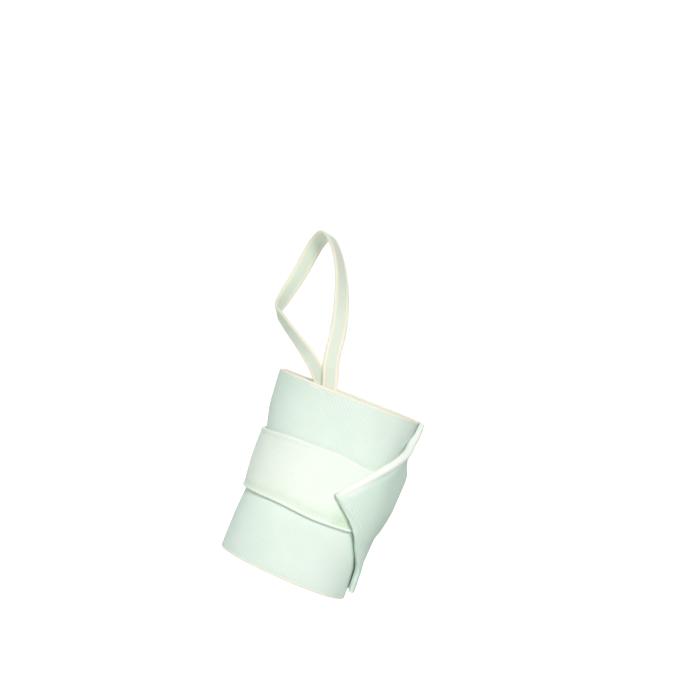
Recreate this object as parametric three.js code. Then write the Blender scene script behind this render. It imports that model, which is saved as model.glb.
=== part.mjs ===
// Wrist support of white elastic: a wide ribbed band goes once round the wrist and overlaps itself,
// its outer end is folded to a point over a narrower closing strap, and a flat elastic loop holds
// the thumb. Millimetres, +Z runs from the forearm to the hand, the palm side faces -Y and the
// thumb side -X. The origin is on the wrist's axis at the middle of the band's width.
import * as THREE from 'three';

// Driving dimensions, in millimetres
const elasticThickness = 1.5;
const layerGap = 0.3;
const layerStep = elasticThickness + layerGap;
const patchThickness = 0.9;
const loopWidth = 6.4;
const loopThickness = 1.2;

// The wrist's section is a little squarer than an ellipse, whose power is 2
const sectionPower = 2.25;

// Inside of the band, one row for each height along the arm
const wristSections = [
  { z: -38, centreX: -0.8, halfWidth: 25.2, halfDepth: 18.2 },
  { z: -24, centreX: -1.0, halfWidth: 24.9, halfDepth: 18.1 },
  { z: -10, centreX: -0.3, halfWidth: 24.9, halfDepth: 18.0 },
  { z: 2, centreX: 0.1, halfWidth: 26.3, halfDepth: 18.3 },
  { z: 12, centreX: 0.1, halfWidth: 26.6, halfDepth: 18.6 },
  { z: 25, centreX: -1.6, halfWidth: 27.4, halfDepth: 19.2 },
  { z: 38, centreX: -1.8, halfWidth: 28.2, halfDepth: 20.0 },
];

// A turn is an angle in degrees round the wrist: 0 faces the palm side, 90 the thumb side and 180 the
// back. The layers are wound that way, so what is at turn 360 lies over what is at turn 0.
// The band, one row for each place along its length from its hidden inner end
const bandRoute = [
  { turn: -112, lift: 0.0, zLow: -38.5, zMid: 0.4, zHigh: 38.3 },
  { turn: 0, lift: 0.0, zLow: -37.3, zMid: 0.6, zHigh: 38.3 },
  { turn: 90, lift: 0.0, zLow: -36.3, zMid: 0.8, zHigh: 38.3 },
  { turn: 188, lift: 0.0, zLow: -36.3, zMid: 0.8, zHigh: 38.3 },
  { turn: 238, lift: layerStep, zLow: -35.4, zMid: 1.2, zHigh: 38.4 },
  { turn: 290, lift: layerStep, zLow: -34.0, zMid: 1.4, zHigh: 38.6 },
  { turn: 344, lift: layerStep, zLow: -34.0, zMid: 1.4, zHigh: 38.6 },
];

// The pointed end, below and above its tip: the turns at each height where the band is doubled by
// its folded corner and where the folded edge lies
const pointTip = 1.4;
const belowTip = [
  { z: -34.0, doubledTurn: 277, edgeTurn: 287.0 },
  { z: -26.0, doubledTurn: 278, edgeTurn: 288.0 },
  { z: -17.1, doubledTurn: 282, edgeTurn: 300.3 },
  { z: -7.8, doubledTurn: 283, edgeTurn: 316.2 },
  { z: pointTip, doubledTurn: 284, edgeTurn: 342.0 },
];
const aboveTip = [
  { z: pointTip, doubledTurn: 284, edgeTurn: 342.0 },
  { z: 13.5, doubledTurn: 290, edgeTurn: 318.0 },
  { z: 26.0, doubledTurn: 281, edgeTurn: 292.0 },
  { z: 38.6, doubledTurn: 266, edgeTurn: 272.0 },
];
const doubledRun = 8;

// The lower folded corner thins out on its inner side, over the last turns before its edge
const cornerTaper = { depth: 1.3, run: 5, fullBelow: -8 };

// The closing strap, one row for each place along its length from its sewn end
const strapRoute = [
  { turn: -98, zLow: -4.0, zHigh: 16.0 },
  { turn: -43, zLow: -11.1, zHigh: 14.8 },
  { turn: -12, zLow: -11.3, zHigh: 16.3 },
  { turn: 40, zLow: -10.2, zHigh: 15.8 },
  { turn: 80, zLow: -10.6, zHigh: 14.0 },
  { turn: 212, zLow: -10.8, zHigh: 14.2 },
];

// The band's outer layer climbs over the strap's sewn end and falls off past the strap's edges. Near
// the pointed edge it falls off more slowly above the strap, and below the strap it keeps a share of
// its climb, so that it stands off the layer below.
const coverRise = { from: 232, to: 255 };
const coverMargin = 0.8;
const coverFall = 4.5;
const pointStand = { from: 274, to: 294, fall: 26 };
const cornerStand = { from: 240, to: 268, share: 0.4 };

// Hook fastener between the strap's free end and the band, and the strap's climb over it
const patch = { turnFrom: 154, turnTo: 209, zLow: -8.8, zHigh: 12.2 };
const patchClimb = { from: 138, to: 151 };

// Thumb loop: its two flat tails cross behind the band's upper edge, the back one under the front one
const loopTails = {
  front: [
    { turn: 22, z: 30, lift: -1.1 },
    { turn: 24.5, z: 39, lift: -1.1 },
  ],
  back: [
    { turn: 34, z: 39, lift: -2.7 },
    { turn: 20, z: 31, lift: -2.7 },
  ],
};

// Thumb loop from tail to tail: its middle line, and the way that its flat faces
const thumbLoopRoute = [
  { x: -13.4, y: -21.4, z: 48.3, faceX: 0.0, faceY: -1.0, faceZ: 0.15 },
  { x: -15.0, y: -22.0, z: 59.1, faceX: 0.05, faceY: -1.0, faceZ: 0.05 },
  { x: -17.2, y: -21.5, z: 68.1, faceX: 0.3, faceY: -0.93, faceZ: 0.15 },
  { x: -22.3, y: -18.6, z: 81.0, faceX: 0.6, faceY: -0.6, faceZ: 0.5 },
  { x: -28.2, y: -13.5, z: 90.0, faceX: 0.45, faceY: -0.3, faceZ: 0.8 },
  { x: -33.6, y: -5.5, z: 94.0, faceX: 0.1, faceY: 0.1, faceZ: 1.0 },
  { x: -36.6, y: 4.0, z: 89.5, faceX: -0.1, faceY: 0.7, faceZ: 0.7 },
  { x: -38.6, y: 9.0, z: 77.5, faceX: -0.3, faceY: 0.95, faceZ: 0.1 },
  { x: -40.6, y: 7.5, z: 66.5, faceX: -0.6, faceY: 0.8, faceZ: -0.1 },
  { x: -41.2, y: 0.0, z: 59.6, faceX: -0.85, faceY: 0.1, faceZ: -0.5 },
  { x: -37.3, y: -10.5, z: 56.4, faceX: -0.65, faceY: -0.45, faceZ: -0.6 },
  { x: -31.5, y: -16.5, z: 52.9, faceX: -0.5, faceY: -0.6, faceZ: -0.6 },
  { x: -25.5, y: -19.3, z: 49.2, faceX: -0.42, faceY: -0.7, faceZ: -0.5 },
  { x: -19.6, y: -19.2, z: 45.2, faceX: -0.35, faceY: -0.85, faceZ: -0.25 },
];

// Mesh steps along and across each piece
const steps = {
  bandRound: 52,
  bandPoint: 16,
  bandAcross: 22,
  strapAlong: 48,
  strapAcross: 6,
  patchAlong: 10,
  patchAcross: 3,
  loopAlong: 88,
};

const { lerp, smoothstep, degToRad } = THREE.MathUtils;

// Value of one column of a table at a place between its rows, as a smooth curve that never overshoots
function between(rows, key, place, column) {
  let i = 0;
  while (i < rows.length - 2 && place > rows[i + 1][key]) i++;
  const slope = (k) => {
    const rise = rows[k + 1][column] - rows[k][column];
    return rise / (rows[k + 1][key] - rows[k][key]);
  };
  const tangent = (k) => {
    if (k === 0) return slope(0);
    if (k === rows.length - 1) return slope(k - 1);
    const before = slope(k - 1);
    const after = slope(k);
    return before * after <= 0 ? 0 : (2 * before * after) / (before + after);
  };
  const span = rows[i + 1][key] - rows[i][key];
  const t = THREE.MathUtils.clamp((place - rows[i][key]) / span, 0, 1);
  const start = rows[i][column];
  const end = rows[i + 1][column];
  const ease = t * t * (3 - 2 * t);
  const lead = span * t * (1 - t) * ((1 - t) * tangent(i) - t * tangent(i + 1));
  return lerp(start, end, ease) + lead;
}

// Point at a height and turn round the wrist, lifted off the skin along its normal
function onWrist(turn, z, lift) {
  const centreX = between(wristSections, 'z', z, 'centreX');
  const halfWidth = between(wristSections, 'z', z, 'halfWidth');
  const halfDepth = between(wristSections, 'z', z, 'halfDepth');
  const sine = Math.sin(degToRad(-turn));
  const cosine = Math.cos(degToRad(turn));
  const across = Math.abs(sine) / halfWidth;
  const deep = Math.abs(cosine) / halfDepth;
  const radius = (across ** sectionPower + deep ** sectionPower) ** (-1 / sectionPower);
  const normal = new THREE.Vector3(
    (Math.sign(sine) * across ** (sectionPower - 1)) / halfWidth,
    (-Math.sign(cosine) * deep ** (sectionPower - 1)) / halfDepth,
    0,
  ).normalize();
  return new THREE.Vector3(centreX + radius * sine, -radius * cosine, z).addScaledVector(normal, lift);
}

// Geometry from vertices and triangles, with its faces turned outward
function closedGeometry(points, triangles) {
  const corner = [new THREE.Vector3(), new THREE.Vector3(), new THREE.Vector3()];
  let volume = 0;
  for (const triangle of triangles) {
    triangle.forEach((vertex, k) => corner[k].copy(points[vertex]));
    volume += corner[0].dot(corner[1].cross(corner[2]));
  }
  const outward = volume > 0 ? triangles : triangles.map(([a, b, c]) => [a, c, b]);
  const geometry = new THREE.BufferGeometry().setFromPoints(points);
  geometry.setIndex(outward.flat());
  geometry.computeVertexNormals();
  return geometry;
}

// Closed sheet over a grid: inside and outside faces and a rim. place(u, v) gives both points
function sheetGeometry(along, across, place) {
  const points = [];
  for (let i = 0; i <= along; i++) {
    for (let j = 0; j <= across; j++) points.push(...place(i / along, j / across));
  }
  const triangles = [];
  const quad = (a, b, c, d) => triangles.push([a, b, c], [a, c, d]);
  const inside = (i, j) => 2 * (i * (across + 1) + j);
  const outside = (i, j) => inside(i, j) + 1;
  for (let i = 0; i < along; i++) {
    for (let j = 0; j < across; j++) {
      quad(inside(i, j), inside(i + 1, j), inside(i + 1, j + 1), inside(i, j + 1));
      quad(outside(i, j), outside(i, j + 1), outside(i + 1, j + 1), outside(i + 1, j));
    }
    quad(inside(i, 0), outside(i, 0), outside(i + 1, 0), inside(i + 1, 0));
    quad(inside(i, across), inside(i + 1, across), outside(i + 1, across), outside(i, across));
  }
  for (let j = 0; j < across; j++) {
    quad(inside(0, j), inside(0, j + 1), outside(0, j + 1), outside(0, j));
    quad(inside(along, j), outside(along, j), outside(along, j + 1), inside(along, j + 1));
  }
  return closedGeometry(points, triangles);
}

const bandLift = (turn) => between(bandRoute, 'turn', turn, 'lift');

// How far the band's outer layer stands up over the strap that lies under it
function coverLift(turn, z) {
  const overStrap = turn - 360;
  const low = between(strapRoute, 'turn', overStrap, 'zLow') - coverMargin;
  const high = between(strapRoute, 'turn', overStrap, 'zHigh') + coverMargin;
  const fall = lerp(coverFall, pointStand.fall, smoothstep(turn, pointStand.from, pointStand.to));
  const kept = cornerStand.share * smoothstep(turn, cornerStand.from, cornerStand.to);
  const below = lerp(kept, 1, smoothstep(z, low - coverFall, low));
  const above = 1 - smoothstep(z, high, high + fall);
  return layerStep * below * above * smoothstep(turn, coverRise.from, coverRise.to);
}

// Band: round the wrist and over itself to the pointed edge, where the folded corners double it
function makeBand() {
  const along = steps.bandRound + steps.bandPoint;
  const roundShare = steps.bandRound / along;
  const firstTurn = bandRoute[0].turn;
  return sheetGeometry(along, steps.bandAcross, (u, v) => {
    const routeZ = (turn) => {
      const zMid = between(bandRoute, 'turn', turn, 'zMid');
      if (v < 0.5) return lerp(between(bandRoute, 'turn', turn, 'zLow'), zMid, 2 * v);
      return lerp(zMid, between(bandRoute, 'turn', turn, 'zHigh'), 2 * v - 1);
    };
    const lastZ = routeZ(bandRoute.at(-1).turn);
    const point = lastZ < pointTip ? belowTip : aboveTip;
    const doubledTurn = between(point, 'z', lastZ, 'doubledTurn');
    const edgeTurn = between(point, 'z', lastZ, 'edgeTurn');
    const turn = u <= roundShare
      ? lerp(firstTurn, doubledTurn, u / roundShare)
      : lerp(doubledTurn, edgeTurn, (u - roundShare) / (1 - roundShare));
    const z = routeZ(turn);
    const lift = bandLift(turn) + coverLift(turn, z);
    const layers = 1 + smoothstep(turn, doubledTurn, doubledTurn + doubledRun);
    const taper = smoothstep(turn, edgeTurn - cornerTaper.run, edgeTurn);
    const hollow = cornerTaper.depth * taper * (1 - smoothstep(lastZ, cornerTaper.fullBelow, pointTip));
    return [onWrist(turn, z, lift + hollow), onWrist(turn, z, lift + layers * elasticThickness)];
  });
}

// Strap: over the band from its sewn end under the point, round the thumb side to the back
function makeStrap() {
  const firstTurn = strapRoute[0].turn;
  const lastTurn = strapRoute.at(-1).turn;
  return sheetGeometry(steps.strapAlong, steps.strapAcross, (u, v) => {
    const turn = lerp(firstTurn, lastTurn, u);
    const zLow = between(strapRoute, 'turn', turn, 'zLow');
    const z = lerp(zLow, between(strapRoute, 'turn', turn, 'zHigh'), v);
    const climb = (patchThickness + layerGap) * smoothstep(turn, patchClimb.from, patchClimb.to);
    const lift = bandLift(turn) + layerStep + climb;
    return [onWrist(turn, z, lift), onWrist(turn, z, lift + elasticThickness)];
  });
}

function makePatch() {
  return sheetGeometry(steps.patchAlong, steps.patchAcross, (u, v) => {
    const turn = lerp(patch.turnFrom, patch.turnTo, u);
    const z = lerp(patch.zLow, patch.zHigh, v);
    const lift = bandLift(turn) + layerStep;
    return [onWrist(turn, z, lift), onWrist(turn, z, lift + patchThickness)];
  });
}

// Thumb loop: a flat strip along a smooth line, with the two tails behind the band's upper edge
function makeThumbLoop() {
  const tailStation = ({ turn, z, lift }) => {
    const point = onWrist(turn, z, lift);
    return { point, facing: onWrist(turn, z, lift + 1).sub(point) };
  };
  const legStation = (row) => ({
    point: new THREE.Vector3(row.x, row.y, row.z),
    facing: new THREE.Vector3(row.faceX, row.faceY, row.faceZ),
  });
  const stations = [
    ...loopTails.front.map(tailStation),
    ...thumbLoopRoute.map(legStation),
    ...loopTails.back.map(tailStation),
  ];
  const line = new THREE.CatmullRomCurve3(stations.map(({ point }) => point));
  const facings = new THREE.CatmullRomCurve3(stations.map(({ facing }) => facing));
  return sheetGeometry(steps.loopAlong, 1, (u, v) => {
    const part = line.getUtoTmapping(u);
    const tangent = line.getTangent(part);
    const facing = facings.getPoint(part);
    facing.addScaledVector(tangent, -facing.dot(tangent)).normalize();
    const side = new THREE.Vector3().crossVectors(tangent, facing);
    const edge = line.getPoint(part).addScaledVector(side, (v - 0.5) * loopWidth);
    const half = loopThickness / 2;
    return [edge.clone().addScaledVector(facing, -half), edge.clone().addScaledVector(facing, half)];
  });
}

function makeMesh(name, geometry, colour, roughness) {
  const material = new THREE.MeshStandardMaterial({ color: colour, roughness, metalness: 0 });
  const mesh = new THREE.Mesh(geometry, material);
  mesh.name = name;
  return mesh;
}

const wristSupport = new THREE.Group();
wristSupport.add(
  makeMesh('wrist_band', makeBand(), '#e2ece4', 0.85),
  makeMesh('closure_strap', makeStrap(), '#e8f0e8', 0.85),
  makeMesh('hook_patch', makePatch(), '#f0f0ec', 0.7),
  makeMesh('thumb_loop', makeThumbLoop(), '#e4ede2', 0.85),
);

export default wristSupport;
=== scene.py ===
import math
import bpy
import numpy as np
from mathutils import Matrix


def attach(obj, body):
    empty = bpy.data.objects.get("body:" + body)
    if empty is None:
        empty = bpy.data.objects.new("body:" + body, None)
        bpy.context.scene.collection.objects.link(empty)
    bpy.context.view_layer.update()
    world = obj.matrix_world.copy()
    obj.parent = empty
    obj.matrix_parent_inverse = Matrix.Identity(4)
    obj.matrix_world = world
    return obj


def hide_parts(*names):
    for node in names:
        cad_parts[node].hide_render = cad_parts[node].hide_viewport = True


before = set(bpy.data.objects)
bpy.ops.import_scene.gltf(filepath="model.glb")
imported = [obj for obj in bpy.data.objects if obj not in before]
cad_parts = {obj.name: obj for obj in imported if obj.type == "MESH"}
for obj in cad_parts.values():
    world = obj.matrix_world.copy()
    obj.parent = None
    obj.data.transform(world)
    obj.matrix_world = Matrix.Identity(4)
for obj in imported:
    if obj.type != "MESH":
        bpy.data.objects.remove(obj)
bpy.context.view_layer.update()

# elastic wrist support with a thumb loop: tables are in millimetres and degrees, meshes in metres
mm = 0.001

# the form that every layer is wound on: palm at turn 0, thumb side at 90, back at 180
wrist = {
    "power": 2.25,  # a little squarer than an ellipse
    "steps": 900,  # round a layer, to measure its length
    "uneven": 0.2,  # soft hollows that all layers follow
    "waves": [
        {"size": 0.5, "perTurn": 2, "climb": 0.09, "shift": 1},
        {"size": 0.3, "perTurn": 5, "climb": -0.13, "shift": 0},
    ],
    "sections": [
        {"z": -38, "centreX": -0.8, "halfWidth": 25.2, "halfDepth": 18.2},
        {"z": -24, "centreX": -1.0, "halfWidth": 24.9, "halfDepth": 18.1},
        {"z": -10, "centreX": -0.3, "halfWidth": 24.9, "halfDepth": 18.0},
        {"z": 2, "centreX": 0.1, "halfWidth": 26.3, "halfDepth": 18.3},
        {"z": 12, "centreX": 0.1, "halfWidth": 26.6, "halfDepth": 18.6},
        {"z": 25, "centreX": -1.6, "halfWidth": 27.4, "halfDepth": 19.2},
        {"z": 38, "centreX": -1.8, "halfWidth": 28.2, "halfDepth": 20.0},
    ],
}
layer = {"thickness": 1.5, "gap": 0.3}
layerStep = layer["thickness"] + layer["gap"]


def between(rows, key, place, column):
    # smooth value between the rows of a table, without overshoot
    x = np.array([row[key] for row in rows], float)
    y = np.array([row[column] for row in rows], float)
    slope = np.diff(y) / np.diff(x)
    product = slope[:-1] * slope[1:]
    total = np.where(product > 0, slope[:-1] + slope[1:], 1.0)
    tangent = np.concatenate([slope[:1], np.where(product > 0, 2 * product / total, 0.0), slope[-1:]])
    place = np.clip(place, x[0], x[-1])
    i = np.clip(np.searchsorted(x, place) - 1, 0, len(x) - 2)
    span = x[i + 1] - x[i]
    t = (place - x[i]) / span
    lead = span * t * (1 - t) * ((1 - t) * tangent[i] - t * tangent[i + 1])
    return y[i] + (y[i + 1] - y[i]) * t * t * (3 - 2 * t) + lead


def ease(value, start, end):
    t = np.clip((value - start) / (end - start), 0, 1)
    return t * t * (3 - 2 * t)


def bell(value, middle, width):
    return np.exp(-(((value - middle) / width) ** 2))


def lengthAlong(line):
    return np.concatenate([[0.0], np.cumsum(np.linalg.norm(np.diff(line, axis=0), axis=1))])


def pointAt(place, run, line):
    return np.stack([np.interp(place, run, line[:, k]) for k in range(3)], -1)


def onWrist(turn, z, lift):
    turn, z, lift = np.broadcast_arrays(*(np.asarray(value, float) for value in (turn, z, lift)))
    halfWidth = between(wrist["sections"], "z", z, "halfWidth")
    halfDepth = between(wrist["sections"], "z", z, "halfDepth")
    angle = np.radians(turn)
    sine, cosine = -np.sin(angle), np.cos(angle)
    across, deep = np.abs(sine) / halfWidth, np.abs(cosine) / halfDepth
    power = wrist["power"]
    radius = (across**power + deep**power) ** (-1 / power)
    normalX = np.sign(sine) * across ** (power - 1) / halfWidth
    normalY = -np.sign(cosine) * deep ** (power - 1) / halfDepth
    size = np.hypot(normalX, normalY)
    wave = sum(w["size"] * np.sin(w["perTurn"] * angle + w["climb"] * z + w["shift"]) for w in wrist["waves"])
    out = (lift + wrist["uneven"] * wave) / size
    x = between(wrist["sections"], "z", z, "centreX") + radius * sine + normalX * out
    return np.stack([x, -radius * cosine + normalY * out, z], -1) * mm


def windAlong(firstTurn, lastTurn):
    # turns and the length of cloth wound up to each of them
    turns = np.linspace(firstTurn, lastTurn, wrist["steps"])
    return turns, lengthAlong(onWrist(turns, 0.0, layerStep) / mm)


# woven elastic: rows crowd at the selvedges, where the cloth has a smooth cord and a fine groove
weave = {
    "edgeRows": [0.0, 0.1, 0.35, 0.75, 1.0, 1.25, 1.5, 1.9],
    "grooveAt": 1.25,
    "grooveWidth": 0.24,
    "grooveShare": 0.16,
    "ribsFrom": 1.75,  # the ribs begin inside the groove
    "ribSharpness": 6,
    "columnsPerRib": 4,
    "mergeWithin": 0.004,
}


def acrossRows(v, rows, width, more=()):
    # rows at the distances listed from either edge, the rest even between them
    edge = np.array(weave["edgeRows"] + list(more))
    index = np.concatenate([np.arange(len(edge)), rows - np.arange(len(edge))[::-1]])
    return np.interp(v * rows, index, np.concatenate([edge, width - edge[::-1]]))


def roundEdge(distance, radius):
    # half round edge: nothing at the edge, full thickness from the radius inwards
    return np.sqrt(1 - (1 - np.clip(distance / radius, 0, 1)) ** 2)


def ribGroove(along, pitch):
    return np.abs(np.cos(np.pi * along / pitch)) ** weave["ribSharpness"]


def selvedgeGroove(edge):
    return weave["grooveShare"] * bell(edge, weave["grooveAt"], weave["grooveWidth"])


def flatCloth(name, columns, rows):
    # a flat grid of the cut cloth, with each vertex's share along and across
    bpy.ops.object.select_all(action="DESELECT")
    bpy.ops.mesh.primitive_grid_add(x_subdivisions=columns, y_subdivisions=rows, size=1)
    piece = bpy.context.object
    piece.name = name
    piece.data.name = name
    flat = np.empty(len(piece.data.vertices) * 3)
    piece.data.vertices.foreach_get("co", flat)
    flat = flat.reshape(-1, 3) + 0.5
    return piece, flat[:, 0], flat[:, 1]


def mergeClose():
    bpy.ops.object.mode_set(mode="EDIT")
    bpy.ops.mesh.select_all(action="SELECT")
    bpy.ops.mesh.remove_doubles(threshold=weave["mergeWithin"] * mm)
    bpy.ops.object.mode_set(mode="OBJECT")


def faceOutwards():
    bpy.ops.object.mode_set(mode="EDIT")
    bpy.ops.mesh.select_all(action="SELECT")
    bpy.ops.mesh.normals_make_consistent(inside=False)
    bpy.ops.object.mode_set(mode="OBJECT")
    bpy.ops.object.shade_smooth()


def layCloth(piece, points, thickness, along, across, **marks):
    # the middle surface gets its thickness, and the uv map each point's place on the cloth in millimetres
    mesh = piece.data
    mesh.vertices.foreach_set("co", points.ravel())
    corner = np.empty(len(mesh.loops), np.int32)
    mesh.loops.foreach_get("vertex_index", corner)
    mesh.uv_layers.active.name = "cloth"
    place = np.stack([along, across], -1)[corner]
    mesh.uv_layers["cloth"].uv.foreach_set("vector", place.astype(np.float32).ravel())
    for name, values in marks.items():
        mesh.attributes.new(name, "FLOAT", "POINT").data.foreach_set("value", values.astype(np.float32))
    most = float(thickness.max())
    group = piece.vertex_groups.new(name="thickness")
    for index, share in enumerate((thickness / most).tolist()):
        group.add([index], share, "REPLACE")
    mergeClose()
    solid = piece.modifiers.new("thickness", "SOLIDIFY")
    solid.thickness = most * mm
    solid.offset = 0
    solid.vertex_group = "thickness"
    bpy.ops.object.modifier_apply(modifier="thickness")
    mergeClose()
    piece.vertex_groups.clear()
    faceOutwards()


# wide band: once round the wrist, over itself and the strap to a folded point
band = {
    "width": 76.0,
    "ribPitch": 1.1,
    "ribDepth": 0.08,
    "rows": 58,
    "route": [
        {"turn": -112, "lift": 0.0, "zLow": -38.5, "zMid": 0.4, "zHigh": 38.3},
        {"turn": 0, "lift": 0.0, "zLow": -37.3, "zMid": 0.6, "zHigh": 38.3},
        {"turn": 90, "lift": 0.0, "zLow": -36.3, "zMid": 0.8, "zHigh": 38.3},
        {"turn": 188, "lift": 0.0, "zLow": -36.3, "zMid": 0.8, "zHigh": 38.3},
        {"turn": 238, "lift": layerStep, "zLow": -35.4, "zMid": 1.2, "zHigh": 38.4},
        {"turn": 290, "lift": layerStep, "zLow": -34.0, "zMid": 1.4, "zHigh": 38.6},
        {"turn": 344, "lift": layerStep, "zLow": -34.0, "zMid": 1.4, "zHigh": 38.6},
    ],
    "tip": 1.4,
    "leanFrom": 236,  # from here the columns lean with the folded edge and crowd towards it
    "leanCrowd": 1.2,
    "ribsFadeFrom": 0.03,  # shares of the leaning part, where the ribs run out
    "ribsFadeTo": 0.25,
    "belowTip": [
        {"z": -34.0, "doubledTurn": 277, "edgeTurn": 287.0},
        {"z": -26.0, "doubledTurn": 278, "edgeTurn": 288.0},
        {"z": -17.1, "doubledTurn": 282, "edgeTurn": 300.3},
        {"z": -7.8, "doubledTurn": 283, "edgeTurn": 316.2},
        {"z": 1.4, "doubledTurn": 284, "edgeTurn": 342.0},
    ],
    "aboveTip": [
        {"z": 1.4, "doubledTurn": 284, "edgeTurn": 342.0},
        {"z": 13.5, "doubledTurn": 290, "edgeTurn": 318.0},
        {"z": 26.0, "doubledTurn": 281, "edgeTurn": 292.0},
        {"z": 38.6, "doubledTurn": 266, "edgeTurn": 272.0},
    ],
    "doubledRun": 8,  # at least, and where the fold is wide a share of it
    "doubledShare": 0.6,
    "doubledLongest": 20,
    "coverFrom": 232,
    "coverTo": 255,
    "coverMargin": 0.8,
    "coverFall": 4.5,
    "standFrom": 274,  # near the pointed edge it stands off the layer below
    "standTo": 294,
    "standFall": 26,
    "cornerFrom": 240,  # and so does its lower corner, which thins out on its inner side
    "cornerTo": 268,
    "cornerShare": 0.4,
    "taperDepth": 1.3,
    "taperRun": 5,
    "taperFullBelow": -8,
    "slackFrom": 256,  # from the strap's seam on, the flap is painted darker and greener: painted shade
    "slackTo": 286,
    "tipLighterFrom": 302,  # towards the tip the painted shade fades, so the tip is lighter again
    "tipLighterTo": 334,
    "tipLighterShare": 0.7,
    "lowFold": 0.25,  # share of the roll on the lower folded edge
    "upperFrom": 2,  # below and above the tip, where the upper folded edge takes over
    "upperTo": 3,
    "farTo": 14,  # above the tip, where the hollow is full
    "rimHighlightShare": 0.75,  # painted highlight on the fold's rim, on more of its width at the tip
    "rimHighlightFrom": 1.3,
    "rimHighlightTo": 2.6,
    "rimHighlightTipMore": 3.0,
    "rollAt": 1.3,  # the rolled edge of the fold, and the hollow behind it
    "rollWidth": 0.9,
    "rollShare": 0.2,
    "hollowAt": 3.0,
    "hollowWidth": 0.9,
    "hollowShare": 0.16,
}

# closing strap: sewn under the point, across the palm and round the thumb side to the back
strap = {
    "width": 27.0,
    "ribPitch": 1.1,
    "ribDepth": 0.08,
    "rows": 36,
    "hollowRows": [2.2, 2.5, 2.9, 3.3, 3.8],  # a shallow hollow beside either selvedge
    "hollowAt": 2.6,
    "hollowWidth": 1.0,
    "hollowShare": 0.28,
    "route": [
        {"turn": -98, "zLow": -4.0, "zHigh": 16.0},
        {"turn": -43, "zLow": -11.1, "zHigh": 14.8},
        {"turn": -12, "zLow": -11.3, "zHigh": 16.3},
        {"turn": 40, "zLow": -10.2, "zHigh": 15.8},
        {"turn": 80, "zLow": -10.6, "zHigh": 14.0},
        {"turn": 212, "zLow": -10.8, "zHigh": 14.2},
    ],
    "climbFrom": 138,
    "climbTo": 151,
    "slackFrom": -14,  # painted shadow on the lower corner at the seam, beside the point's edge
    "slackTo": -36,
    "slackFull": 3.0,
    "slackWidth": 14.0,
    "lowShadeShare": 0.45,  # and painted shade in a strip beside its lower selvedge
    "lowShadeAt": 2.7,
    "lowShadeWidth": 1.6,
}

# hook tape under the strap's free end
hookTape = {
    "thickness": 0.9,
    "turnFrom": 154,
    "turnTo": 209,
    "zLow": -8.8,
    "zHigh": 12.2,
    "columns": 44,
    "rows": 40,
    "edge": 0.4,
    "hookPitch": 1.2,
    "hookHeight": 0.3,
}


def bandLift(turn):
    return between(band["route"], "turn", turn, "lift")


def coverLift(turn, z):
    # the outer layer stands up over the strap that lies under it
    low = between(strap["route"], "turn", turn - 360, "zLow") - band["coverMargin"]
    high = between(strap["route"], "turn", turn - 360, "zHigh") + band["coverMargin"]
    stand = (band["standFall"] - band["coverFall"]) * ease(turn, band["standFrom"], band["standTo"])
    kept = band["cornerShare"] * ease(turn, band["cornerFrom"], band["cornerTo"])
    below = kept + (1 - kept) * ease(z, low - band["coverFall"], low)
    above = 1 - ease(z, high, high + band["coverFall"] + stand)
    return layerStep * below * above * ease(turn, band["coverFrom"], band["coverTo"])


def bandZ(turn, share):
    low, mid, high = (between(band["route"], "turn", turn, name) for name in ("zLow", "zMid", "zHigh"))
    return np.where(share < 0.5, low + (mid - low) * 2 * share, mid + (high - mid) * (2 * share - 1))


def pointEdge(z, column):
    below = between(band["belowTip"], "z", z, column)
    return np.where(z < band["tip"], below, between(band["aboveTip"], "z", z, column))


def edgeSlant(z, perTurn):
    # how many times as long the way to the folded edge is round the wrist as square to the edge
    perHeight = pointEdge(z + 0.5, "edgeTurn") - pointEdge(z - 0.5, "edgeTurn")
    return np.hypot(1, perHeight * perTurn)


def edgeDistance(turn, z, perTurn):
    # millimetres from the folded edge, square to it
    return (pointEdge(z, "edgeTurn") - turn) * perTurn / edgeSlant(z, perTurn)


def upperFold(z):
    # nothing on the lower folded edge, all of it on the upper one
    return ease(z, band["tip"] - band["upperFrom"], band["tip"] + band["upperTo"])


def farFromTip(z):
    return ease(z, band["tip"] + band["upperTo"], band["tip"] + band["farTo"])


def foldSwell(distance, z):
    # the lower folded edge lies flatter, and the hollow runs out towards the tip
    roll = bell(distance, band["rollAt"], band["rollWidth"])
    hollow = bell(distance, band["hollowAt"], band["hollowWidth"])
    share = band["lowFold"] + (1 - band["lowFold"]) * upperFold(z)
    return share * band["rollShare"] * roll - farFromTip(z) * band["hollowShare"] * hollow


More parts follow.
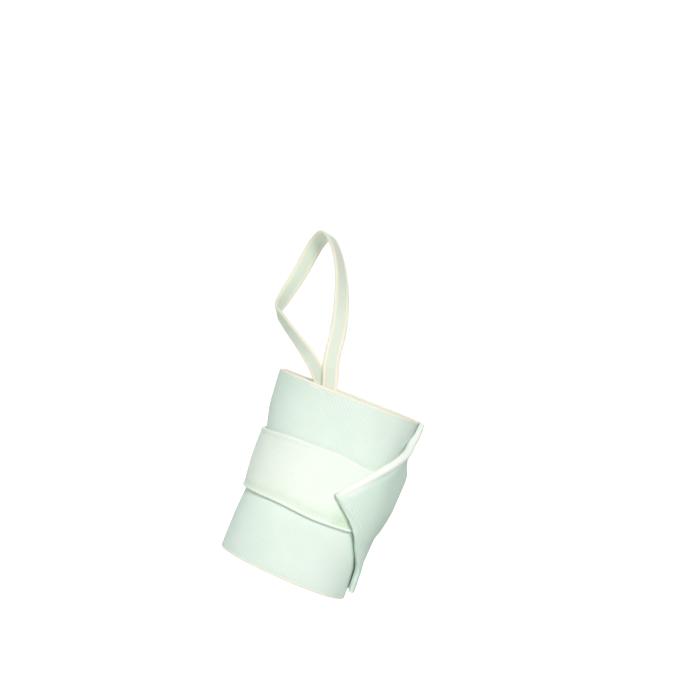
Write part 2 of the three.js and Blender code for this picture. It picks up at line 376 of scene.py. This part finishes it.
def makeBand():
    turns, run = windAlong(band["route"][0]["turn"], pointEdge(np.array(band["tip"]), "edgeTurn"))
    ribs = round(run[-1] / band["ribPitch"])
    piece, u, v = flatCloth("elasticBand", ribs * weave["columnsPerRib"], band["rows"])
    width = band["width"]
    across = acrossRows(v, band["rows"], width)
    endZ = bandZ(band["route"][-1]["turn"], across / width)
    edgeTurn = pointEdge(endZ, "edgeTurn")
    start = np.interp(band["leanFrom"], turns, run)
    lean = np.clip((u * run[-1] - start) / (run[-1] - start), 0, 1)
    ending = (np.interp(edgeTurn, turns, run) - start) * (1 - (1 - lean) ** band["leanCrowd"])
    along = np.where(lean > 0, start + ending, u * run[-1])
    turn = np.interp(along, run, turns)
    perTurn = np.interp(turn, turns, np.gradient(run, turns))
    z = bandZ(turn, across / width)
    doubledTurn = pointEdge(endZ, "doubledTurn")
    doubledRun = band["doubledShare"] * (edgeTurn - doubledTurn)
    doubledRun = np.clip(doubledRun, band["doubledRun"], band["doubledLongest"])
    doubled = ease(turn, doubledTurn, doubledTurn + doubledRun)
    thick = layer["thickness"] * (1 + doubled)
    outside = bandLift(turn) + coverLift(turn, z) + thick
    taper = ease(turn, edgeTurn - band["taperRun"], edgeTurn)
    thick -= band["taperDepth"] * taper * (1 - ease(endZ, band["taperFullBelow"], band["tip"]))
    points = onWrist(turn, z, outside - thick / 2)
    fold = edgeDistance(turn, endZ, perTurn)
    edge = np.minimum(across, width - across)
    profile = roundEdge(edge, thick / 2) * roundEdge(fold, thick / 2)
    profile *= roundEdge(along, layer["thickness"] / 2)
    swell = 1 + doubled * foldSwell(fold, endZ) - selvedgeGroove(edge)
    ribbed = ease(edge, weave["grooveAt"], weave["ribsFrom"])
    ribbed *= 1 - ease(lean, band["ribsFadeFrom"], band["ribsFadeTo"])
    ribs = 2 * band["ribDepth"] * ribGroove(along, run[-1] / ribs) * ribbed
    # painted highlight on the rim of the upper folded edge, wider towards the tip
    rimHighlightTo = band["rimHighlightTo"] + band["rimHighlightTipMore"] * (1 - farFromTip(endZ))
    rimHighlight = band["rimHighlightShare"] * doubled * (1 - ease(fold, band["rimHighlightFrom"], rimHighlightTo)) * upperFold(endZ)
    # painted shade on the flap past the strap's seam, fading again towards the tip
    slack = ease(turn, band["slackFrom"], band["slackTo"])
    slack *= 1 - band["tipLighterShare"] * ease(turn, band["tipLighterFrom"], band["tipLighterTo"])
    layCloth(piece, points, profile * (thick * swell - ribs), along, across, fold=rimHighlight, slack=slack)
    return piece


def strapLift(turn):
    climb = (hookTape["thickness"] + layer["gap"]) * ease(turn, strap["climbFrom"], strap["climbTo"])
    return bandLift(turn) + layerStep + climb


def makeStrap():
    turns, run = windAlong(strap["route"][0]["turn"], strap["route"][-1]["turn"])
    ribs = round(run[-1] / strap["ribPitch"])
    piece, u, v = flatCloth("closingStrap", ribs * weave["columnsPerRib"], strap["rows"])
    width = strap["width"]
    across = acrossRows(v, strap["rows"], width, strap["hollowRows"])
    along = u * run[-1]
    turn = np.interp(along, run, turns)
    low = between(strap["route"], "turn", turn, "zLow")
    z = low + (between(strap["route"], "turn", turn, "zHigh") - low) * across / width
    thick = layer["thickness"]
    points = onWrist(turn, z, strapLift(turn) + thick / 2)
    edge = np.minimum(across, width - across)
    end = np.minimum(along, run[-1] - along)
    profile = roundEdge(edge, thick / 2) * roundEdge(end, thick / 2)
    ribbed = ease(edge, weave["grooveAt"], weave["ribsFrom"])
    ribs = 2 * strap["ribDepth"] * ribGroove(along, run[-1] / ribs) * ribbed
    # painted shadow on the lower corner at the seam, and painted shade beside the lower selvedge
    slack = 1 - ease(turn, strap["slackTo"], strap["slackFrom"])
    slack *= 1 - ease(across, strap["slackFull"], strap["slackWidth"])
    slack = np.maximum(slack, strap["lowShadeShare"] * bell(across, strap["lowShadeAt"], strap["lowShadeWidth"]))
    hollow = strap["hollowShare"] * bell(edge, strap["hollowAt"], strap["hollowWidth"])
    body = thick * (1 - selvedgeGroove(edge) - hollow) - ribs
    layCloth(piece, points, profile * body, along, across, slack=slack)
    return piece


def makeHookTape():
    piece, u, v = flatCloth("hookTape", hookTape["columns"], hookTape["rows"])
    turns, run = windAlong(hookTape["turnFrom"], hookTape["turnTo"])
    width = hookTape["zHigh"] - hookTape["zLow"]
    along, across = u * run[-1], v * width
    turn = np.interp(along, run, turns)
    thick = hookTape["thickness"]
    points = onWrist(turn, hookTape["zLow"] + across, bandLift(turn) + layerStep + thick / 2)
    edge = np.minimum.reduce([across, (1 - v) * width, along, (1 - u) * run[-1]])
    layCloth(piece, points, thick * roundEdge(edge, hookTape["edge"]), along, across)
    return piece


# thumb loop: narrow flat elastic, both tails sewn behind the band's upper edge
thumbLoop = {
    "width": 6.4,
    "thickness": 1.2,
    "steps": 3000,
    "columns": 420,
    "rows": 20,
    "cord": 1.15,  # the corded edge on either side
    "braidFrom": 1.0,
    "braidPitch": 0.82,
    "braidDepth": 0.05,
    "frontTail": [{"turn": 22, "z": 30, "lift": -1.1}, {"turn": 24.5, "z": 39, "lift": -1.1}],
    "backTail": [{"turn": 34, "z": 39, "lift": -2.7}, {"turn": 20, "z": 31, "lift": -2.7}],
    "route": [  # middle line, then the way that the flat side faces
        (-13.4, -21.4, 48.3, 0.0, -1.0, 0.15),
        (-15.0, -22.0, 59.1, 0.05, -1.0, 0.05),
        (-17.2, -21.5, 68.1, 0.3, -0.93, 0.15),
        (-22.3, -18.6, 81.0, 0.6, -0.6, 0.5),
        (-28.2, -13.5, 90.0, 0.45, -0.3, 0.8),
        (-33.6, -5.5, 94.0, 0.1, 0.1, 1.0),
        (-36.6, 4.0, 89.5, -0.1, 0.7, 0.7),
        (-38.6, 9.0, 77.5, -0.3, 0.95, 0.1),
        (-40.6, 7.5, 66.5, -0.6, 0.8, -0.1),
        (-41.2, 0.0, 59.6, -0.85, 0.1, -0.5),
        (-37.3, -10.5, 56.4, -0.65, -0.45, -0.6),
        (-31.5, -16.5, 52.9, -0.5, -0.6, -0.6),
        (-25.5, -19.3, 49.2, -0.42, -0.7, -0.5),
        (-19.6, -19.2, 45.2, -0.35, -0.85, -0.25),
    ],
}


def throughPoints(points, part):
    # centripetal curve through the points, at a place from 0 to 1 along the list
    p = np.vstack([2 * points[0] - points[1], points, 2 * points[-1] - points[-2]])
    place = np.clip(part, 0, 1) * (len(points) - 1)
    i = np.minimum(place.astype(int), len(points) - 2)
    t = (place - i)[:, None]
    p0, p1, p2, p3 = (p[i + k] for k in range(4))
    gap0, gap1, gap2 = (
        np.maximum(np.linalg.norm(b - a, axis=1, keepdims=True) ** 0.5, 0.01)
        for a, b in ((p0, p1), (p1, p2), (p2, p3))
    )
    leave = ((p1 - p0) / gap0 - (p2 - p0) / (gap0 + gap1) + (p2 - p1) / gap1) * gap1
    arrive = ((p2 - p1) / gap1 - (p3 - p1) / (gap1 + gap2) + (p3 - p2) / gap2) * gap1
    square = -3 * p1 + 3 * p2 - 2 * leave - arrive
    return p1 + leave * t + square * t**2 + (2 * p1 - 2 * p2 + leave + arrive) * t**3


def makeThumbLoop():
    def tail(row):
        foot, top = (onWrist(row["turn"], row["z"], row["lift"] + rise) / mm for rise in (0, 1))
        return np.concatenate([foot, top - foot])

    stations = [tail(row) for row in thumbLoop["frontTail"]]
    stations += [np.array(row) for row in thumbLoop["route"]]
    stations += [tail(row) for row in thumbLoop["backTail"]]
    stations = np.array(stations)
    parts = np.linspace(0, 1, thumbLoop["steps"])
    line = throughPoints(stations[:, :3], parts)
    run = lengthAlong(line)
    heading = np.gradient(line, run, axis=0)

    piece, u, v = flatCloth("thumbStrip", thumbLoop["columns"], thumbLoop["rows"])
    width = thumbLoop["width"]
    across = acrossRows(v, thumbLoop["rows"], width)
    along = u * run[-1]
    middle = pointAt(along, run, line)
    ahead = pointAt(along, run, heading)
    ahead /= np.linalg.norm(ahead, axis=1, keepdims=True)
    facing = throughPoints(stations[:, 3:], np.interp(along, run, parts))
    facing -= ahead * np.sum(facing * ahead, axis=1, keepdims=True)
    facing /= np.linalg.norm(facing, axis=1, keepdims=True)
    side = np.cross(ahead, facing)
    points = (middle + side * (across - width / 2)[:, None]) * mm
    edge = np.minimum(across, width - across)
    end = np.minimum(along, run[-1] - along)
    thick = thumbLoop["thickness"]
    profile = roundEdge(edge, thick / 2) * roundEdge(end, thick / 2)
    braid = 2 * thumbLoop["braidDepth"] * ribGroove(across - thumbLoop["cord"], thumbLoop["braidPitch"])
    braid *= edge > thumbLoop["braidFrom"]
    layCloth(piece, points, profile * (thick - braid), along, across)
    print("thumb loop length", round(float(run[-1]), 1), "mm")
    return piece


# sewing thread: short arched stitches, all joined in one mesh
thread = {
    "radius": 0.18,
    "arch": 0.16,
    "sink": 0.1,
    "endShare": 0.55,
    "twist": 0.25,
    "twistDepth": 0.05,
    "sides": 6,
    "rings": 5,
    "stitch": 1.7,
    "space": 0.5,
    "perTurn": 0.42,  # length of cloth for each degree at the tip
    "tipSteps": 60,
    "tipSeams": [  # at the point's tip: heights and the distance from the folded edge
        {"zFrom": -9.0, "zTo": 0.4, "inset": 3.0},
        {"zFrom": 2.4, "zTo": 10.5, "inset": 2.0},
    ],
    "boxInset": 2.0,  # box seam on the strap's end, inside the hook tape's edges
    "boxInsetTurn": 5,
    "boxSteps": 40,
    "tack": {"turnFrom": 13.0, "turnTo": 41.0, "zLow": 35.7, "zHigh": 37.3, "legs": 23},
}


def stitchTube(start, end, out, points, faces):
    # one stitch: a few rings of points that rise and sink again, with closed ends
    base = len(points)
    ahead = (end - start) / np.linalg.norm(end - start)
    side = np.cross(ahead, out)
    for ring in range(thread["rings"]):
        t = ring / (thread["rings"] - 1)
        rise = thread["arch"] * math.sin(math.pi * t) - thread["sink"]
        middle = start + (end - start) * t + out * rise * mm
        radius = thread["radius"] * mm * (thread["endShare"] if t in (0, 1) else 1.0)
        for k in range(thread["sides"]):
            a = 2 * math.pi * k / thread["sides"]
            points.append(middle + radius * (math.cos(a) * side + math.sin(a) * out))
    for ring in range(thread["rings"] - 1):
        for k in range(thread["sides"]):
            a = base + ring * thread["sides"] + k
            b = base + ring * thread["sides"] + (k + 1) % thread["sides"]
            faces.append((a, b, b + thread["sides"], a + thread["sides"]))
    faces.append([base + k for k in range(thread["sides"])][::-1])
    faces.append([base + (thread["rings"] - 1) * thread["sides"] + k for k in range(thread["sides"])])


def stitchLine(surface, places, points, faces):
    # running stitches along a line of (turn, z) on a surface whose lift is known
    lift = surface(places[:, 0], places[:, 1])
    line = onWrist(places[:, 0], places[:, 1], lift)
    top = onWrist(places[:, 0], places[:, 1], lift + 1)
    run = lengthAlong(line) / mm
    pitch = thread["stitch"] + thread["space"]
    for k in range(int(run[-1] // pitch)):
        start = pointAt(k * pitch, run, line)
        end = pointAt(k * pitch + thread["stitch"], run, line)
        out = pointAt(k * pitch + thread["stitch"] / 2, run, top - line)
        stitchTube(start, end, out / np.linalg.norm(out), points, faces)


def makeStitches():
    points, faces = [], []

    def pointSurface(inset):
        def lift(turn, z):
            doubledWall = layer["thickness"] * (2 + foldSwell(inset, z))
            return bandLift(turn) + coverLift(turn, z) + doubledWall

        return lift

    def strapSurface(turn, z):
        return strapLift(turn) + layer["thickness"]

    perTurn = thread["perTurn"]
    for seam in thread["tipSeams"]:  # the point is sewn to the strap under it
        z = np.linspace(seam["zFrom"], seam["zTo"], thread["tipSteps"])
        turn = pointEdge(z, "edgeTurn") - seam["inset"] * edgeSlant(z, perTurn) / perTurn
        stitchLine(pointSurface(seam["inset"]), np.stack([turn, z], -1), points, faces)
    low = hookTape["zLow"] + thread["boxInset"]
    high = hookTape["zHigh"] - thread["boxInset"]
    first = hookTape["turnFrom"] + thread["boxInsetTurn"]
    last = hookTape["turnTo"] - thread["boxInsetTurn"]
    corners = [(first, low), (last, low), (last, high), (first, high), (first, low)]
    for start, end in zip(corners, corners[1:]):  # box seam that holds the hook tape
        stitchLine(strapSurface, np.linspace(start, end, thread["boxSteps"]), points, faces)
    tack = thread["tack"]
    turns = np.linspace(tack["turnFrom"], tack["turnTo"], tack["legs"] + 1)
    heights = np.where(np.arange(tack["legs"] + 1) % 2, tack["zHigh"], tack["zLow"])
    feet = onWrist(turns, heights, layer["thickness"])
    tops = onWrist(turns, heights, layer["thickness"] + 1)
    for k in range(tack["legs"]):  # zigzag over the loop's tails
        out = tops[k] - feet[k]
        stitchTube(feet[k], feet[k + 1], out / np.linalg.norm(out), points, faces)
    mesh = bpy.data.meshes.new("seamStitches")
    mesh.from_pydata([tuple(p) for p in points], [], [tuple(f) for f in faces])
    piece = bpy.data.objects.new("seamStitches", mesh)
    bpy.context.collection.objects.link(piece)
    bpy.ops.object.select_all(action="DESELECT")
    piece.select_set(True)
    bpy.context.view_layer.objects.active = piece
    faceOutwards()
    return piece


def linear(code):
    # sRGB hex colour to linear
    values = [int(code[i : i + 2], 16) / 255 for i in (1, 3, 5)]
    return [v / 12.92 if v <= 0.04045 else ((v + 0.055) / 1.055) ** 2.4 for v in values] + [1.0]


def addNode(tree, kind, inputs=None, **settings):
    made = tree.nodes.new(kind)
    for name, value in settings.items():
        setattr(made, name, value)
    for name, value in (inputs or {}).items():
        if isinstance(value, bpy.types.NodeSocket):
            tree.links.new(value, made.inputs[name])
        else:
            made.inputs[name].default_value = value
    return made


def newMaterial(name):
    made = bpy.data.materials.new(name)
    made.use_nodes = True
    made.node_tree.nodes.clear()
    return made, made.node_tree


def wovenElastic(name, look):
    # woven cotton and rubber elastic: matt, fine cross ribs, slightly fuzzy, smooth cream selvedge cords
    made, tree = newMaterial(name)
    uv = addNode(tree, "ShaderNodeUVMap", uv_map="cloth")
    place = addNode(tree, "ShaderNodeSeparateXYZ", {0: uv.outputs[0]})
    along, across = place.outputs[0], place.outputs[1]
    body = addNode(tree, "ShaderNodeTexCoord").outputs["Object"]
    ribTurn = addNode(
        tree, "ShaderNodeMath", {0: along, 1: 2 * math.pi / look["ribPitch"]}, operation="MULTIPLY",
    )
    rib = addNode(tree, "ShaderNodeMath", {0: ribTurn.outputs[0]}, operation="COSINE")
    groove = addNode(tree, "ShaderNodeMapRange", {0: rib.outputs[0], 1: -0.2, 2: 1.0, 3: 0.0, 4: 0.6})
    pickTurn = addNode(
        tree, "ShaderNodeMath", {0: across, 1: 2 * math.pi / look["pickPitch"]}, operation="MULTIPLY",
    )
    pickLean = addNode(
        tree, "ShaderNodeMath",
        {0: along, 1: math.pi / look["ribPitch"], 2: pickTurn.outputs[0]}, operation="MULTIPLY_ADD",
    )
    pick = addNode(tree, "ShaderNodeMath", {0: pickLean.outputs[0]}, operation="SINE")
    fuzz = addNode(
        tree, "ShaderNodeTexNoise",
        {"Vector": body, "Scale": 1 / (look["fuzz"] * mm), "Detail": 3.0, "Roughness": 0.6},
    )
    tone = addNode(
        tree, "ShaderNodeTexNoise", {"Vector": body, "Scale": 1 / (look["tone"] * mm), "Detail": 2.0},
    )

    halfWidth = look["width"] / 2
    fromMiddle = addNode(tree, "ShaderNodeMath", {0: across, 1: halfWidth}, operation="SUBTRACT")
    fromMiddle = addNode(tree, "ShaderNodeMath", {0: fromMiddle.outputs[0]}, operation="ABSOLUTE")
    inner = halfWidth - look["selvedge"]
    selvedge = addNode(
        tree, "ShaderNodeMapRange",
        {0: fromMiddle.outputs[0], 1: inner - 0.25, 2: inner + 0.1, 3: 0.0, 4: 1.0},
    )

    # the rib grooves mix towards the shade colour: painted shade in the recesses
    cloth = addNode(
        tree, "ShaderNodeMix",
        {0: groove.outputs[0], 6: linear(look["cloth"]), 7: linear(look["shade"])}, data_type="RGBA",
    )
    worn = addNode(
        tree, "ShaderNodeMapRange", {0: tone.outputs[0], 1: 0.35, 2: 0.65, 3: 0.0, 4: look["toneShare"]},
    )
    toned = addNode(
        tree, "ShaderNodeMix",
        {0: worn.outputs[0], 6: cloth.outputs[2], 7: linear(look["shade"])}, data_type="RGBA",
    )
    slack = addNode(tree, "ShaderNodeAttribute", attribute_name="slack")  # painted shade: a darker, greener cloth colour
    slackShare = addNode(
        tree, "ShaderNodeMath", {0: slack.outputs["Fac"], 1: look["slackShare"]}, operation="MULTIPLY",
    )
    toned = addNode(
        tree, "ShaderNodeMix",
        {0: slackShare.outputs[0], 6: toned.outputs[2], 7: linear(look["slack"])}, data_type="RGBA",
    )
    edged = addNode(
        tree, "ShaderNodeMix",
        {0: selvedge.outputs[0], 6: toned.outputs[2], 7: linear(look["cord"])}, data_type="RGBA",
    )
    fold = addNode(tree, "ShaderNodeAttribute", attribute_name="fold")  # painted highlight: paler on the upper folded edge's rim
    edged = addNode(
        tree, "ShaderNodeMix",
        {0: fold.outputs["Fac"], 6: edged.outputs[2], 7: linear(look["rimHighlight"])}, data_type="RGBA",
    )

    ribLift = addNode(
        tree, "ShaderNodeMath", {0: groove.outputs[0], 1: -look["ribBump"]}, operation="MULTIPLY",
    )
    pickLift = addNode(
        tree, "ShaderNodeMath",
        {0: pick.outputs[0], 1: look["pickBump"], 2: ribLift.outputs[0]}, operation="MULTIPLY_ADD",
    )
    height = addNode(
        tree, "ShaderNodeMath",
        {0: fuzz.outputs[0], 1: look["fuzzBump"], 2: pickLift.outputs[0]}, operation="MULTIPLY_ADD",
    )
    bump = addNode(
        tree, "ShaderNodeBump",
        {"Strength": 0.6, "Distance": look["bumpHeight"] * mm, "Height": height.outputs[0]},
    )
    shader = addNode(
        tree, "ShaderNodeBsdfPrincipled",
        {
            "Base Color": edged.outputs[2], "Roughness": 0.88, "Specular IOR Level": 0.25,
            "Sheen Weight": 0.15, "Sheen Roughness": 0.5, "Normal": bump.outputs[0],
        },
    )
    addNode(tree, "ShaderNodeOutputMaterial", {"Surface": shader.outputs[0]})
    return made


# pitches and sizes in millimetres, shares and bumps from 0 to 1
bandLook = {
    "width": band["width"], "ribPitch": band["ribPitch"], "selvedge": 0.75, "pickPitch": 0.8,
    "cloth": "#e3f0e8", "shade": "#d1e5d9", "cord": "#f6efdf", "rimHighlight": "#fafcf8", "slack": "#c9e0d2",
    "fuzz": 0.3, "tone": 14.0, "toneShare": 0.3, "slackShare": 0.72,
    "ribBump": 0.35, "pickBump": 0.25, "fuzzBump": 0.7, "bumpHeight": 0.1,
}
# the strap is cut from the band's cloth; its lighter cloth and shade colours are a painted highlight
strapLook = dict(
    bandLook, width=strap["width"], selvedge=1.1,
    cloth="#ecf4ec", shade="#dcebdf", cord="#ecf5eb", slack="#c6e0c4",
)
loopLook = dict(
    bandLook, width=thumbLoop["width"], selvedge=1.25, ribPitch=0.7, pickPitch=thumbLoop["braidPitch"],
    cloth="#eef3e4", cord="#faf6e4", ribBump=0.2, toneShare=0.2,
)


def sewingThread():
    # spun polyester thread: round, faintly glossy
    made, tree = newMaterial("whiteSewingThread")
    body = addNode(tree, "ShaderNodeTexCoord").outputs["Object"]
    twist = addNode(
        tree, "ShaderNodeTexNoise", {"Vector": body, "Scale": 1 / (thread["twist"] * mm), "Detail": 2.0},
    )
    tint = addNode(
        tree, "ShaderNodeMix",
        {0: twist.outputs[0], 6: linear("#e2ede4"), 7: linear("#eff6ee")}, data_type="RGBA",
    )
    bump = addNode(
        tree, "ShaderNodeBump",
        {"Strength": 0.4, "Distance": thread["twistDepth"] * mm, "Height": twist.outputs[0]},
    )
    shader = addNode(
        tree, "ShaderNodeBsdfPrincipled",
        {"Base Color": tint.outputs[2], "Roughness": 0.6, "Sheen Weight": 0.2, "Normal": bump.outputs[0]},
    )
    addNode(tree, "ShaderNodeOutputMaterial", {"Surface": shader.outputs[0]})
    return made


def hookTapeMaterial():
    # woven nylon hook tape: a dense field of small stiff hooks, drawn as raised dots
    made, tree = newMaterial("nylonHookTape")
    uv = addNode(tree, "ShaderNodeUVMap", uv_map="cloth")
    hooks = addNode(
        tree, "ShaderNodeTexVoronoi",
        {"Vector": uv.outputs[0], "Scale": 1 / hookTape["hookPitch"], "Randomness": 0.35},
    )
    dots = addNode(
        tree, "ShaderNodeMapRange", {0: hooks.outputs["Distance"], 1: 0.2, 2: 0.6, 3: 1.0, 4: 0.0},
    )
    # the hooks' tops are painted lighter and the gaps between them darker: painted light and shade
    tint = addNode(
        tree, "ShaderNodeMix",
        {0: dots.outputs[0], 6: linear("#dfe3dc"), 7: linear("#f4f5f0")}, data_type="RGBA",
    )
    bump = addNode(
        tree, "ShaderNodeBump",
        {"Strength": 0.8, "Distance": hookTape["hookHeight"] * mm, "Height": dots.outputs[0]},
    )
    shader = addNode(
        tree, "ShaderNodeBsdfPrincipled",
        {"Base Color": tint.outputs[2], "Roughness": 0.55, "Normal": bump.outputs[0]},
    )
    addNode(tree, "ShaderNodeOutputMaterial", {"Surface": shader.outputs[0]})
    return made


def dress(piece, material, slot, *nodes):
    piece.data.materials.clear()
    piece.data.materials.append(material)
    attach(piece, "root")
    if nodes:
        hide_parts(*nodes)
    print(piece.name, len(piece.data.polygons), "faces")


dress(makeBand(), wovenElastic("ribbedBandElastic", bandLook), "band_elastic", "wrist_band")
dress(makeStrap(), wovenElastic("ribbedStrapElastic", strapLook), "strap_elastic", "closure_strap")
dress(makeHookTape(), hookTapeMaterial(), "hook_tape", "hook_patch")
dress(makeThumbLoop(), wovenElastic("braidedLoopElastic", loopLook), "loop_elastic", "thumb_loop")
dress(makeStitches(), sewingThread(), "band_elastic")

# pale sweep in metres: a floor that curves up behind, far from the part
studio = {
    "floorZ": -0.3,
    "size": 8.0,
    "backY": 1.6,
    "height": 4.0,
    "curve": 1.2,
    "glow": 0.68,
    "glowFrom": 0.1,
    "glowTo": 0.9,
    "glowTint": "#ffffff",
    "paper": "#eceeec",
    "nearEdge": 0.01,
    "roomTint": "#ebfbf4",
    "roomLight": 0.15,
    "camera": (-0.0083, -0.575, 0.055),
    "roll": 21.6,
    "focalPixels": 1437.5,
    "framePixels": 700,
    "sensor": 36.0,
}


def makeSweep():
    bpy.ops.object.select_all(action="DESELECT")
    middleY = studio["backY"] - studio["size"] / 2
    bpy.ops.mesh.primitive_plane_add(size=studio["size"], location=(0, middleY, studio["floorZ"]))
    sweep = bpy.context.object
    sweep.name = "paleSweep"
    bpy.ops.object.transform_apply(location=True, rotation=True, scale=True)
    bpy.ops.object.mode_set(mode="EDIT")
    bpy.ops.mesh.select_mode(type="EDGE")
    bpy.ops.mesh.select_all(action="DESELECT")
    bpy.ops.object.mode_set(mode="OBJECT")
    mesh = sweep.data
    back = studio["backY"] - studio["nearEdge"]
    low = studio["floorZ"] + studio["nearEdge"]
    for edge in mesh.edges:  # the back edge goes up as a wall
        edge.select = all(mesh.vertices[v].co.y > back for v in edge.vertices)
    bpy.ops.object.mode_set(mode="EDIT")
    bpy.ops.mesh.extrude_region_move(TRANSFORM_OT_translate={"value": (0, 0, studio["height"])})
    bpy.ops.mesh.select_all(action="DESELECT")
    bpy.ops.object.mode_set(mode="OBJECT")
    for edge in mesh.edges:  # the corner between floor and wall is rounded
        ends = [mesh.vertices[v].co for v in edge.vertices]
        edge.select = all(e.y > back and e.z < low for e in ends)
    bpy.ops.object.mode_set(mode="EDIT")
    bpy.ops.mesh.bevel(offset=studio["curve"], segments=24)
    bpy.ops.object.mode_set(mode="OBJECT")
    bpy.ops.object.shade_smooth()
    made, tree = newMaterial("palePaperSweep")  # white paper with a painted glow, from nothing at the front to full at the back where it curves up
    place = addNode(tree, "ShaderNodeTexCoord").outputs["Object"]
    depth = addNode(tree, "ShaderNodeSeparateXYZ", {0: place}).outputs[1]
    rise = addNode(
        tree, "ShaderNodeMapRange",
        {0: depth, 1: studio["glowFrom"], 2: studio["glowTo"], 3: 0.0, 4: studio["glow"]},
    )
    shader = addNode(
        tree, "ShaderNodeBsdfPrincipled",
        {
            "Base Color": linear(studio["paper"]), "Roughness": 0.9,
            "Emission Color": linear(studio["glowTint"]), "Emission Strength": rise.outputs[0],
        },
    )
    addNode(tree, "ShaderNodeOutputMaterial", {"Surface": shader.outputs[0]})
    mesh.materials.append(made)


def addLamp(name, kind, place, aim, power, colour, **settings):
    lamp = bpy.data.lights.new(name, kind)
    lamp.energy = power
    lamp.color = linear(colour)[:3]
    for key, value in settings.items():
        setattr(lamp, key, value)
    holder = bpy.data.objects.new(name, lamp)
    bpy.context.collection.objects.link(holder)
    holder.location = place
    away = np.array(aim) - np.array(place)
    flat = math.hypot(away[0], away[1])
    holder.rotation_euler = (math.atan2(flat, -away[2]), 0, math.atan2(-away[0], away[1]))


makeSweep()
addLamp(
    "keyLamp", "AREA", place=(-0.02, -1.0, 0.6), aim=(0, 0, 0.02),
    power=9.2, colour="#fffcfa", size=0.28,
)
addLamp(  # a soft pool of light on the strap's middle
    "strapLamp", "SPOT", place=(0.1, -1.1, 0.3), aim=(0.009, -0.022, -0.001),
    power=38.0, colour="#fff1f1", spot_size=math.radians(4.0), spot_blend=1.0, shadow_soft_size=0.05,
)
addLamp(
    "sideLamp", "AREA", place=(-1.0, 0.15, 0.3), aim=(0, 0, 0.02),
    power=1.0, colour="#e4fff2", size=0.5,
)
addLamp(
    "backLamp", "AREA", place=(-0.15, 1.0, 0.55), aim=(0, 0, 0.03),
    power=4.2, colour="#fffcfa", size=0.4,
)
world = bpy.data.worlds.new("softRoom")
bpy.context.scene.world = world
world.use_nodes = True
room = world.node_tree.nodes["Background"]
room.inputs[0].default_value = linear(studio["roomTint"])
room.inputs[1].default_value = studio["roomLight"]
bpy.context.scene.view_settings.view_transform = "Standard"

camera = bpy.data.cameras.new("photoCamera")
camera.sensor_width = studio["sensor"]
camera.lens = studio["sensor"] * studio["focalPixels"] / studio["framePixels"]
camera.clip_start = 0.01
eye = bpy.data.objects.new("photoCamera", camera)
bpy.context.collection.objects.link(eye)
eye.location = studio["camera"]
eye.rotation_euler = (math.radians(90), math.radians(-studio["roll"]), 0)
bpy.context.scene.camera = eye
print("studio ready")
